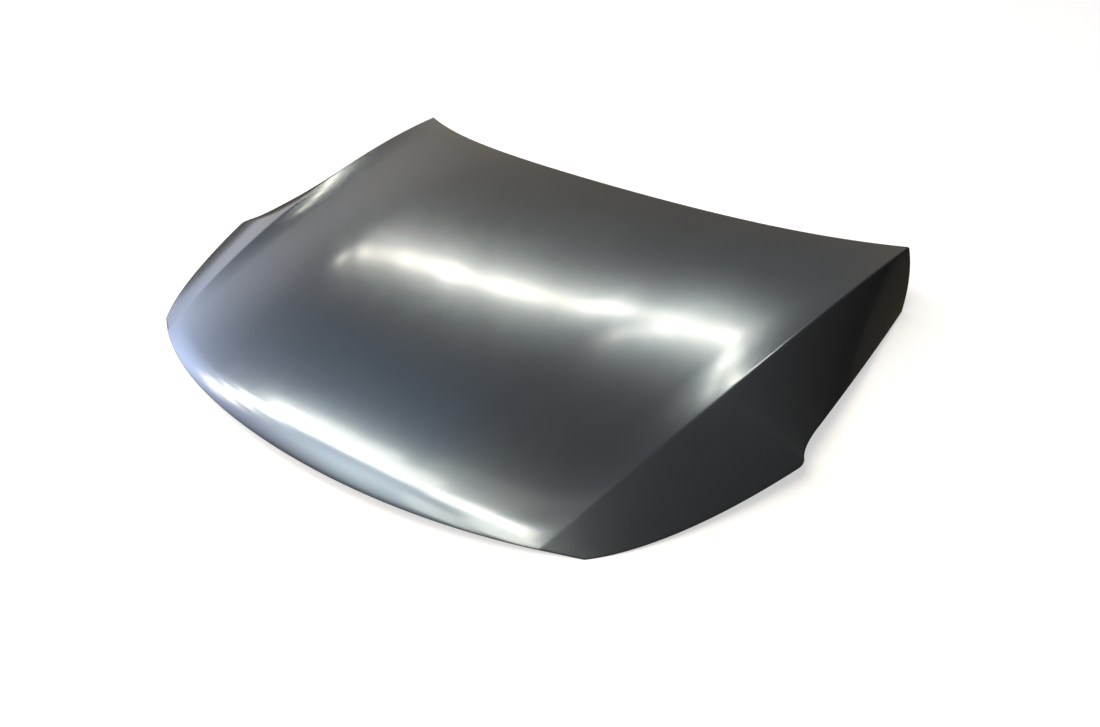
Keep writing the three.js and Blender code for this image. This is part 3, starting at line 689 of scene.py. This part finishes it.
# %% [markdown]
# Now the frame is stamped: table, pads, wall and flange in one layer of faces.
# Solidify gives the sheet its thickness, and the die trims it. An exact boolean keeps the cut edges clean.

# %% Inner frame
FRAME_COLUMNS, FRAME_ROWS = 221, 171


def make_inner_frame():
    a, b = np.meshgrid(np.linspace(-1, 1, FRAME_COLUMNS), np.linspace(0, 1, FRAME_ROWS))
    table = frame_point(a, b, depth_at(a, b))
    press_pads(table, a, b)
    normal = border_of(easy_normal(*frame_place(a, b)))
    piece = sheet_mesh("inner_frame_sheet", table, wall_loops(border_of(table), normal))
    apply_modifier(piece, "SOLIDIFY", thickness=FRAME_THICKNESS * MM, offset=-1, use_even_offset=True)
    die = make_cutters()
    apply_modifier(piece, "BOOLEAN", object=die, operation="DIFFERENCE", solver="EXACT")
    bpy.data.objects.remove(die)
    seat(piece)
    smooth(piece, 35)
    return piece


inner_frame = make_inner_frame()

# %% [markdown]
# The camera was found by fitting its place and lens, together with the outline curves, to the photo.
# It stood off the left front corner, about a metre up, and leaned slightly to one side.

# %% Camera
FOCAL_PIXELS, PHOTO_WIDTH = 800.1, 1100
CAMERA_AT = Vector((1004.6, -1061.2, 952.3)) * MM
AZIMUTH, ELEVATION, ROLL = (math.radians(a) for a in (38.34, 37.12, -1.77))


def make_camera():
    data = bpy.data.cameras.new("photo_camera")
    data.sensor_width = 36
    data.lens = FOCAL_PIXELS / PHOTO_WIDTH * data.sensor_width
    camera = bpy.data.objects.new("photo_camera", data)
    forward = Vector((-math.sin(AZIMUTH) * math.cos(ELEVATION), math.cos(AZIMUTH) * math.cos(ELEVATION),
                      -math.sin(ELEVATION)))
    level = forward.cross(Vector((0, 0, 1))).normalized()
    above = level.cross(forward)
    right = level * math.cos(ROLL) + above * math.sin(ROLL)
    up = above * math.cos(ROLL) - level * math.sin(ROLL)
    turn = Matrix((right, up, -forward)).transposed().to_4x4()
    camera.matrix_world = Matrix.Translation(CAMERA_AT + SHIFT) @ turn
    bpy.context.scene.collection.objects.link(camera)
    bpy.context.scene.camera = camera


make_camera()
print("camera at", [round(x, 3) for x in bpy.context.scene.camera.matrix_world.translation])

# %% [markdown]
# Each smooth sheet now takes the place of the faceted solid of the same name, and keeps its finish slot.

# %% Stand in for the solids
def stand_in(piece, node):
    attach(piece, "root")
    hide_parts(node)


stand_in(outer_skin, "outer_skin")
stand_in(inner_frame, "inner_frame")
print("replaced: outer_skin, inner_frame")

# %% [markdown]
# The pieces that stay as solids are small and hidden, so they keep their own meshes. The latch wire is the
# one round piece in sight, and a smooth rod with welded feet takes its place.

# %% Striker wire
WIRE_DIAMETER, WIRE_SPAN, WIRE_DROP, WIRE_BEND = 8, 34, 27, 9
STRIKER_PLATE_THICKNESS = 2.5
WELD_SPREAD, WELD_HEIGHT = 0.12, 1.2


def wire_path():
    half, low = WIRE_SPAN / 2, -WIRE_DROP
    turn = np.radians(np.linspace(0, 90, 13))
    x, z = half - WIRE_BEND * (1 - np.cos(turn)), low + WIRE_BEND * (1 - np.sin(turn))
    corner = np.stack([x, z], -1)
    side = np.array([(half, z) for z in np.linspace(0, low + WIRE_BEND, 8)[:-1]])
    bar = np.array([(x, low) for x in np.linspace(half - WIRE_BEND, 0, 6)[1:]])
    right = np.concatenate([side, corner, bar])
    left = right[-2::-1] * (-1, 1)
    path = np.concatenate([right, left])
    return np.stack([path[:, 0], np.zeros(len(path)), path[:, 1]], -1)


def tube(name, path, radii, sides=24):
    """A closed rod along a path in the XZ plane."""
    heading = unit(np.gradient(path, axis=0))
    across = np.cross(heading, (0, 1, 0))
    turn = np.linspace(0, 2 * math.pi, sides, endpoint=False)[:, None]
    points, faces = [], []
    for at, out, radius in zip(path, across, radii):
        points.append(at + radius * (np.cos(turn) * out + np.sin(turn) * np.array([0, 1, 0])))
    for i in range(len(path) - 1):
        for k in range(sides):
            m = (k + 1) % sides
            faces.append((i * sides + k, i * sides + m, (i + 1) * sides + m, (i + 1) * sides + k))
    last = (len(path) - 1) * sides
    faces += [tuple(range(sides))[::-1], tuple(range(last, last + sides))]
    mesh = bpy.data.meshes.new(name)
    mesh.from_pydata((np.concatenate(points) * MM).tolist(), [], faces)
    piece = bpy.data.objects.new(name, mesh)
    bpy.context.scene.collection.objects.link(piece)
    return piece


def make_striker_wire():
    path = wire_path()
    weld = np.exp(path[:, 2] / WELD_HEIGHT)
    piece = tube("striker_wire_rod", path, WIRE_DIAMETER / 2 * (1 + WELD_SPREAD * weld))
    drop = -FRAME_THICKNESS - 2 * FIT_GAP - STRIKER_PLATE_THICKNESS
    lean = Matrix.Rotation(striker_pad["tilt"], 4, "X")
    place = Matrix.Translation(Vector(striker_pad["middle"]) * MM)
    piece.data.transform(place @ lean @ Matrix.Translation((0, 0, drop * MM)))
    seat(piece)
    smooth(piece, 50)
    return piece


striker_wire = make_striker_wire()
stand_in(striker_wire, "striker_wire")

# %% [markdown]
# Finishes are node trees. Three small helpers keep them short to write: one joins two sockets, one adds a
# node with its settings, and one starts a group that several finishes can share.

# %% Helpers for node trees
def link(tree, source, output, target, socket):
    tree.links.new(source.outputs[output], target.inputs[socket])


def add_node(tree, kind, values=(), **settings):
    """A node with its settings, and its inputs filled from pairs of socket and value."""
    node = tree.nodes.new("ShaderNode" + kind)
    for key, value in settings.items():
        setattr(node, key, value)
    for socket, value in values:
        node.inputs[socket].default_value = value
    return node


def new_group(name, inputs, outputs):
    """An empty node group with its two ends, from pairs of socket name and kind."""
    tree = bpy.data.node_groups.new(name, "ShaderNodeTree")
    for way, sockets in (("INPUT", inputs), ("OUTPUT", outputs)):
        for socket, kind in sockets:
            tree.interface.new_socket(socket, in_out=way, socket_type="NodeSocket" + kind)
    return tree, tree.nodes.new("NodeGroupInput"), tree.nodes.new("NodeGroupOutput")


# %% [markdown]
# The primer is laid on in an electric bath: a thin, even, satin film, dark grey and faintly blue.
# Real film is never quite even. Slow clouds change its shade and gloss a little, and a fine orange peel
# breaks up the edge of each reflection. Both are written once as node groups that every finish shares.

# %% Film effects shared by the finishes
def make_film_clouds():
    """Shade factor and loss of gloss, from slow clouds and dried runs."""
    outputs = [("Shade", "Float"), ("Gloss Loss", "Float")]
    tree, start, end = new_group("film_clouds", [("Amount", "Float")], outputs)
    place = add_node(tree, "TexCoord")
    clouds = add_node(tree, "TexNoise", [("Scale", 3.1), ("Detail", 5), ("Roughness", 0.55)])
    link(tree, place, "Object", clouds, "Vector")
    stretch = add_node(tree, "VectorMath", [(1, (60, 5, 60))], operation="MULTIPLY")
    link(tree, place, "Object", stretch, 0)
    runs = add_node(tree, "TexNoise", [("Scale", 1), ("Detail", 3)])
    link(tree, stretch, 0, runs, "Vector")
    both = add_node(tree, "Mix", [(0, 0.3)], data_type="FLOAT")
    link(tree, clouds, 0, both, 2)
    link(tree, runs, 0, both, 3)
    centred = add_node(tree, "Math", [(1, 0.5)], operation="SUBTRACT")
    link(tree, both, 0, centred, 0)
    scaled = add_node(tree, "Math", operation="MULTIPLY")
    link(tree, centred, 0, scaled, 0)
    link(tree, start, "Amount", scaled, 1)
    shade = add_node(tree, "Math", [(1, 1)], operation="ADD")
    link(tree, scaled, 0, shade, 0)
    link(tree, shade, 0, end, "Shade")
    link(tree, scaled, 0, end, "Gloss Loss")
    return tree


def make_orange_peel():
    """Height in metres of the fine waviness of a dipped film."""
    tree, start, end = new_group("orange_peel", [("Depth", "Float")], [("Height", "Float")])
    place = add_node(tree, "TexCoord")
    peel = add_node(tree, "TexNoise", [("Scale", 230), ("Detail", 2)])
    link(tree, place, "Object", peel, "Vector")
    height = add_node(tree, "Math", operation="MULTIPLY")
    link(tree, peel, 0, height, 0)
    link(tree, start, "Depth", height, 1)
    link(tree, height, 0, end, "Height")
    return tree


film_clouds, orange_peel = make_film_clouds(), make_orange_peel()
print("groups:", [tree.name for tree in bpy.data.node_groups])

# %% [markdown]
# Each finish is one Principled shader. The even parts, such as coat and tint, are plain values on it, and the
# two groups feed colour, roughness and bump.
# The primer has two glosses: a wide bluish one from the film's depth, and a narrow one from its top.

# %% Finishes
def make_finish(name, color, roughness, clouds, peel_depth, **even):
    material = bpy.data.materials.new(name)
    material.use_nodes = True
    tree = material.node_tree
    shader = tree.nodes["Principled BSDF"]
    for key, value in even.items():
        shader.inputs[key.replace("_", " ")].default_value = value
    cloudy = add_node(tree, "Group", node_tree=film_clouds)
    cloudy.inputs["Amount"].default_value = clouds
    tint = add_node(tree, "VectorMath", [(0, color)], operation="SCALE")
    link(tree, cloudy, "Shade", tint, "Scale")
    link(tree, tint, 0, shader, "Base Color")
    rough = add_node(tree, "Math", [(1, 0.35), (2, roughness)], operation="MULTIPLY_ADD")
    link(tree, cloudy, "Gloss Loss", rough, 0)
    link(tree, rough, 0, shader, "Roughness")
    peel = add_node(tree, "Group", node_tree=orange_peel)
    peel.inputs["Depth"].default_value = peel_depth
    bump = add_node(tree, "Bump", [("Strength", 1), ("Distance", 1)])
    link(tree, peel, "Height", bump, "Height")
    link(tree, bump, "Normal", shader, "Normal")
    return material


FILM_TINT = (0.66, 0.85, 1.0, 1)
finishes = {
    "skin_primer": make_finish(
        "skin_primer", (0.021, 0.0235, 0.027), 0.22, 0.25, 4e-6,
        IOR=2.0, Specular_Tint=FILM_TINT, Coat_Weight=0.6, Coat_Roughness=0.12,
    ),
    "frame_primer": make_finish(
        "frame_primer", (0.03, 0.033, 0.037), 0.34, 0.5, 1e-5, Specular_Tint=FILM_TINT, Coat_Weight=0.1
    ),
    "wire_steel": make_finish("wire_steel", (0.2, 0.2, 0.21), 0.34, 0.4, 1e-5, Metallic=0.9),
    "mastic": make_finish("mastic", (0.022, 0.022, 0.023), 0.75, 0.6, 6e-5),
}
slot_of = {part["node"]: part["material_slot"] for part in frame["record"]["subparts"]}


def paint(piece, slot):
    piece.data.materials.clear()
    piece.data.materials.append(finishes[slot])


for piece, node in ((outer_skin, "outer_skin"), (inner_frame, "inner_frame"), (striker_wire, "striker_wire")):
    paint(piece, slot_of[node])
for name, node in frame["nodes"].items():
    paint(node, slot_of[name])
print("finishes:", sorted(finishes))

# %% [markdown]
# The bonnet lies on a plain pale floor, which takes the soft shadow under the edges.
# A mirror-like panel would show a white floor all along its flank. The hall of the photo was dark down there,
# so the floor that the panel mirrors is a dim one.

# %% Floor
FLOOR_SHADE, FLOOR_LIFT = 0.38, 0.58
MIRRORED_FLOOR = (0.06, 0.05, 0.035, 1)


def make_floor():
    bpy.ops.mesh.primitive_plane_add(size=60)
    floor = bpy.context.object
    floor.name = "floor"
    material = bpy.data.materials.new("floor_white")
    material.use_nodes = True
    tree = material.node_tree
    shader, output = tree.nodes["Principled BSDF"], tree.nodes["Material Output"]
    shader.inputs["Base Color"].default_value = (FLOOR_SHADE, FLOOR_SHADE, FLOOR_SHADE, 1)
    shader.inputs["Roughness"].default_value = 0.9
    shader.inputs["Specular IOR Level"].default_value = 0.1
    shader.inputs["Emission Color"].default_value = (FLOOR_LIFT, FLOOR_LIFT, FLOOR_LIFT, 1)
    ray = add_node(tree, "LightPath")
    link(tree, ray, "Is Camera Ray", shader, "Emission Strength")
    mirrored = add_node(tree, "Emission", [("Color", MIRRORED_FLOOR)])
    choice = add_node(tree, "MixShader")
    link(tree, ray, "Is Glossy Ray", choice, 0)
    link(tree, shader, 0, choice, 1)
    link(tree, mirrored, 0, choice, 2)
    link(tree, choice, 0, output, "Surface")
    floor.data.materials.append(material)
    return floor


floor = make_floor()
print("floor lies at z = %.3f m" % floor.location.z)

# %% [markdown]
# A dark satin panel shows its shape only by what it mirrors.
# Two rows of hall lamps run across the ceiling. The far row draws the long band across the middle, and ends
# in an arm that comes forwards. The near row draws the band along the nose. Each lamp's place was found by
# following a line of sight to the panel and on to the ceiling.
# The strengths of these lamps, and of the hall's glows further down, began as a fit to the photo's
# brightness, made by another program. They were then rounded, and some were changed by eye.
# They are meant for the photo's side, and from other sides the bonnet is lit less well.

# %% Hall lamps
CEILING = 3.0
WARM, AMBER = (1.0, 0.91, 0.77), (1.0, 0.86, 0.7)


def make_lamp(name, x, y, length, width, radiance, color):
    data = bpy.data.lights.new(name, "AREA")
    data.shape = "RECTANGLE"
    data.size, data.size_y = length, width
    data.energy = radiance * math.pi * length * width
    data.color = color
    lamp = bpy.data.objects.new(name, data)
    lamp.location = (x, y, CEILING)
    bpy.context.scene.collection.objects.link(lamp)


far_row = [
    (-4.85, 2.24, 18), (-4.45, 2.36, 26), (-4.1, 2.41, 22), (-3.75, 2.42, 34), (-3.4, 2.41, 28),
    (-3.05, 2.39, 46), (-2.7, 2.38, 24), (-2.4, 2.38, 36), (-2.1, 2.39, 34), (-1.8, 2.41, 24),
    (-1.55, 2.42, 32), (-1.3, 2.43, 36), (-1.05, 2.4, 30), (-0.8, 2.38, 17), (-0.55, 2.4, 19),
    (-0.35, 2.44, 14), (-0.17, 2.43, 50),
]
arm = [(-0.28, 2.29, 22), (-0.42, 2.2, 30), (-0.55, 2.12, 19), (-0.68, 2.0, 16), (-0.7, 1.86, 5)]
near_row = [
    (-9.0, -3.5, 2.0, 1.6, 6), (-6.7, -2.77, 1.6, 1.2, 16), (-4.9, -1.9, 1.2, 1.0, 13),
    (-3.7, -1.2, 1.0, 0.8, 20), (-2.9, -0.8, 0.8, 0.7, 18), (-2.2, -0.7, 0.7, 0.7, 10.5),
    (-1.5, -0.75, 0.7, 0.7, 11), (-0.8, -0.9, 0.7, 0.7, 10.5), (-0.1, -1.1, 0.7, 0.7, 13),
    (0.5, -1.12, 0.6, 0.4, 20), (-0.2, -0.45, 1.3, 0.5, 1.3),
    (-0.1, -2.7, 1.2, 1.2, 4), (0.6, -1.8, 0.9, 0.9, 8),
]
for i, (x, y, radiance) in enumerate(far_row):
    make_lamp("far_row_%02d" % i, x, y, 0.3, 0.18, radiance, WARM)
for i, (x, y, radiance) in enumerate(arm):
    make_lamp("arm_%02d" % i, x, y, 0.16, 0.14, radiance, WARM)
for i, lamp in enumerate(near_row):
    make_lamp("near_row_%02d" % i, *lamp, AMBER)
print("lamps:", len(far_row) + len(arm) + len(near_row))

# %% [markdown]
# The rest of the hall is dark, with a few soft glows: daylight low on the far side, a bright wall behind the
# camera's left, and faint warm light at the back. Each glow is strongest in one direction and fades round it.
# Seen straight by the camera, the surroundings are white.

# %% Hall
GLOW_TIGHTNESS = 18
COLOR_A, COLOR_B, COLOR_RESULT = 6, 7, 2
glows = [
    (-100, 6, (2.3, 2.7, 3.8)), (-66, 6, (0.8, 0.74, 0.68)), (-35, 6, (0.24, 0.18, 0.11)),
    (-10, 6, (0.24, 0.14, 0.07)), (-115, 30, (1.2, 1.1, 1.4)), (-140, 50, (5.2, 5.2, 5.0)),
    (-100, 50, (0.34, 0.6, 0.9)), (0, 24, (0.16, 0.14, 0.1)), (-10, 45, (0.08, 0.1, 0.14)),
]


def make_soft_glow():
    """Light that is strongest in one direction and fades smoothly round it."""
    inputs = [("Direction", "Vector"), ("Centre", "Vector"), ("Strength", "Vector")]
    tree, start, end = new_group("soft_glow", inputs, [("Light", "Vector")])
    near = add_node(tree, "VectorMath", operation="DOT_PRODUCT")
    link(tree, start, "Direction", near, 0)
    link(tree, start, "Centre", near, 1)
    fall = add_node(tree, "Math", [(1, GLOW_TIGHTNESS), (2, -GLOW_TIGHTNESS)], operation="MULTIPLY_ADD")
    link(tree, near, "Value", fall, 0)
    share = add_node(tree, "Math", operation="EXPONENT")
    link(tree, fall, 0, share, 0)
    light = add_node(tree, "VectorMath", operation="SCALE")
    link(tree, start, "Strength", light, 0)
    link(tree, share, 0, light, "Scale")
    link(tree, light, 0, end, "Light")
    return tree


def towards(azimuth, elevation):
    """Unit vector, with azimuth 0 along +Y and 90 along +X."""
    turn, rise = math.radians(azimuth), math.radians(elevation)
    return (math.sin(turn) * math.cos(rise), math.cos(turn) * math.cos(rise), math.sin(rise))


def make_world():
    world = bpy.data.worlds.new("hall")
    bpy.context.scene.world = world
    world.use_nodes = True
    tree = world.node_tree
    direction = add_node(tree, "TexCoord")
    soft_glow = make_soft_glow()
    total = add_node(tree, "VectorMath", operation="ADD")
    for azimuth, elevation, strength in glows:
        glow = add_node(tree, "Group", node_tree=soft_glow)
        glow.inputs["Centre"].default_value = towards(azimuth, elevation)
        glow.inputs["Strength"].default_value = strength
        link(tree, direction, "Generated", glow, "Direction")
        link(tree, glow, "Light", total, 1)
        following = add_node(tree, "VectorMath", operation="ADD")
        link(tree, total, 0, following, 0)
        total = following
    choice = add_node(tree, "Mix", [(COLOR_B, (1, 1, 1, 1))], data_type="RGBA")
    link(tree, add_node(tree, "LightPath"), "Is Camera Ray", choice, 0)
    link(tree, total, 0, choice, COLOR_A)
    link(tree, choice, COLOR_RESULT, tree.nodes["Background"], "Color")


make_world()
bpy.context.scene.view_settings.view_transform = "Standard"
print("glows:", len(glows))
